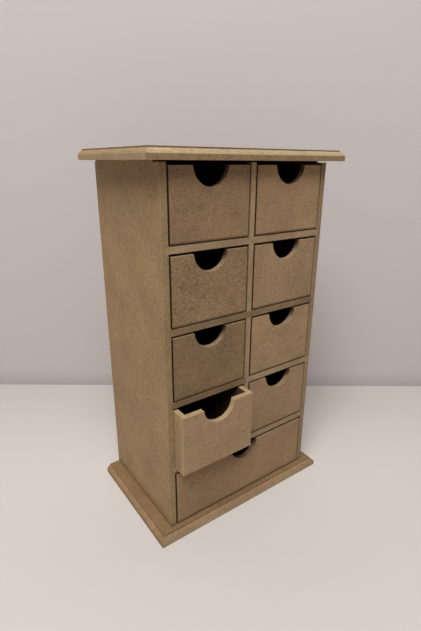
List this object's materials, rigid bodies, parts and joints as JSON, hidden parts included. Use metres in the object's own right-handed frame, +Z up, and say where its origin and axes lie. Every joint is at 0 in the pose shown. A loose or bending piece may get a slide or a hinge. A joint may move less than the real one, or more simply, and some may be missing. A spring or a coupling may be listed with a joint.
{
  "type": "sewing thread drawer cabinet",
  "caption": "Tall tabletop cabinet of raw fibreboard with box drawers pulled by half-round finger notches, between a moulded base board and lid.",
  "frame": {"origin": "middle of the base board's underside, on the surface the cabinet stands on", "axes": "+Z up; the drawers face and pull out along -Y; +X is to the right as seen from the front"},
  "size_m": [0.213, 0.1406, 0.362],
  "materials": {
    "carcass_board": "raw medium-density fibreboard, sawn edges",
    "moulded_board": "raw medium-density fibreboard with a routed moulding",
    "back_board": "raw thin fibreboard",
    "drawer_front_board": "raw medium-density fibreboard, speckled face, sanded edges",
    "drawer_board": "raw medium-density fibreboard"
  },
  "bodies": {
    "cabinet": {"base_board": "moulded_board", "left_side_panel": "carcass_board", "right_side_panel": "carcass_board", "back_panel": "back_board", "centre_divider": "carcass_board", "lid_board": "moulded_board", "shelf_1": "carcass_board", "shelf_2": "carcass_board", "shelf_3": "carcass_board", "shelf_4": "carcass_board"},
    "left_drawer_1": {"left_drawer_1_front": "drawer_front_board", "left_drawer_1_left_wall": "drawer_board", "left_drawer_1_right_wall": "drawer_board", "left_drawer_1_back_wall": "drawer_board", "left_drawer_1_floor": "drawer_board"},
    "right_drawer_1": {"right_drawer_1_front": "drawer_front_board", "right_drawer_1_left_wall": "drawer_board", "right_drawer_1_right_wall": "drawer_board", "right_drawer_1_back_wall": "drawer_board", "right_drawer_1_floor": "drawer_board"},
    "left_drawer_2": {"left_drawer_2_front": "drawer_front_board", "left_drawer_2_left_wall": "drawer_board", "left_drawer_2_right_wall": "drawer_board", "left_drawer_2_back_wall": "drawer_board", "left_drawer_2_floor": "drawer_board"},
    "right_drawer_2": {"right_drawer_2_front": "drawer_front_board", "right_drawer_2_left_wall": "drawer_board", "right_drawer_2_right_wall": "drawer_board", "right_drawer_2_back_wall": "drawer_board", "right_drawer_2_floor": "drawer_board"},
    "left_drawer_3": {"left_drawer_3_front": "drawer_front_board", "left_drawer_3_left_wall": "drawer_board", "left_drawer_3_right_wall": "drawer_board", "left_drawer_3_back_wall": "drawer_board", "left_drawer_3_floor": "drawer_board"},
    "right_drawer_3": {"right_drawer_3_front": "drawer_front_board", "right_drawer_3_left_wall": "drawer_board", "right_drawer_3_right_wall": "drawer_board", "right_drawer_3_back_wall": "drawer_board", "right_drawer_3_floor": "drawer_board"},
    "left_drawer_4": {"left_drawer_4_front": "drawer_front_board", "left_drawer_4_left_wall": "drawer_board", "left_drawer_4_right_wall": "drawer_board", "left_drawer_4_back_wall": "drawer_board", "left_drawer_4_floor": "drawer_board"},
    "right_drawer_4": {"right_drawer_4_front": "drawer_front_board", "right_drawer_4_left_wall": "drawer_board", "right_drawer_4_right_wall": "drawer_board", "right_drawer_4_back_wall": "drawer_board", "right_drawer_4_floor": "drawer_board"},
    "wide_drawer": {"wide_drawer_front": "drawer_front_board", "wide_drawer_left_wall": "drawer_board", "wide_drawer_right_wall": "drawer_board", "wide_drawer_back_wall": "drawer_board", "wide_drawer_floor": "drawer_board"}
  },
  "joints": [
    {"name": "left_drawer_1_slide", "type": "slide", "parent": "cabinet", "child": "left_drawer_1", "axis": [0, -1, 0], "range_m": [0, 0.092]},
    {"name": "right_drawer_1_slide", "type": "slide", "parent": "cabinet", "child": "right_drawer_1", "axis": [0, -1, 0], "range_m": [0, 0.092]},
    {"name": "left_drawer_2_slide", "type": "slide", "parent": "cabinet", "child": "left_drawer_2", "axis": [0, -1, 0], "range_m": [0, 0.092]},
    {"name": "right_drawer_2_slide", "type": "slide", "parent": "cabinet", "child": "right_drawer_2", "axis": [0, -1, 0], "range_m": [0, 0.092]},
    {"name": "left_drawer_3_slide", "type": "slide", "parent": "cabinet", "child": "left_drawer_3", "axis": [0, -1, 0], "range_m": [0, 0.092]},
    {"name": "right_drawer_3_slide", "type": "slide", "parent": "cabinet", "child": "right_drawer_3", "axis": [0, -1, 0], "range_m": [0, 0.092]},
    {"name": "left_drawer_4_slide", "type": "slide", "parent": "cabinet", "child": "left_drawer_4", "axis": [0, -1, 0], "range_m": [-0.0156, 0.0764]},
    {"name": "right_drawer_4_slide", "type": "slide", "parent": "cabinet", "child": "right_drawer_4", "axis": [0, -1, 0], "range_m": [0, 0.092]},
    {"name": "wide_drawer_slide", "type": "slide", "parent": "cabinet", "child": "wide_drawer", "axis": [0, -1, 0], "range_m": [0, 0.092]}
  ]
}
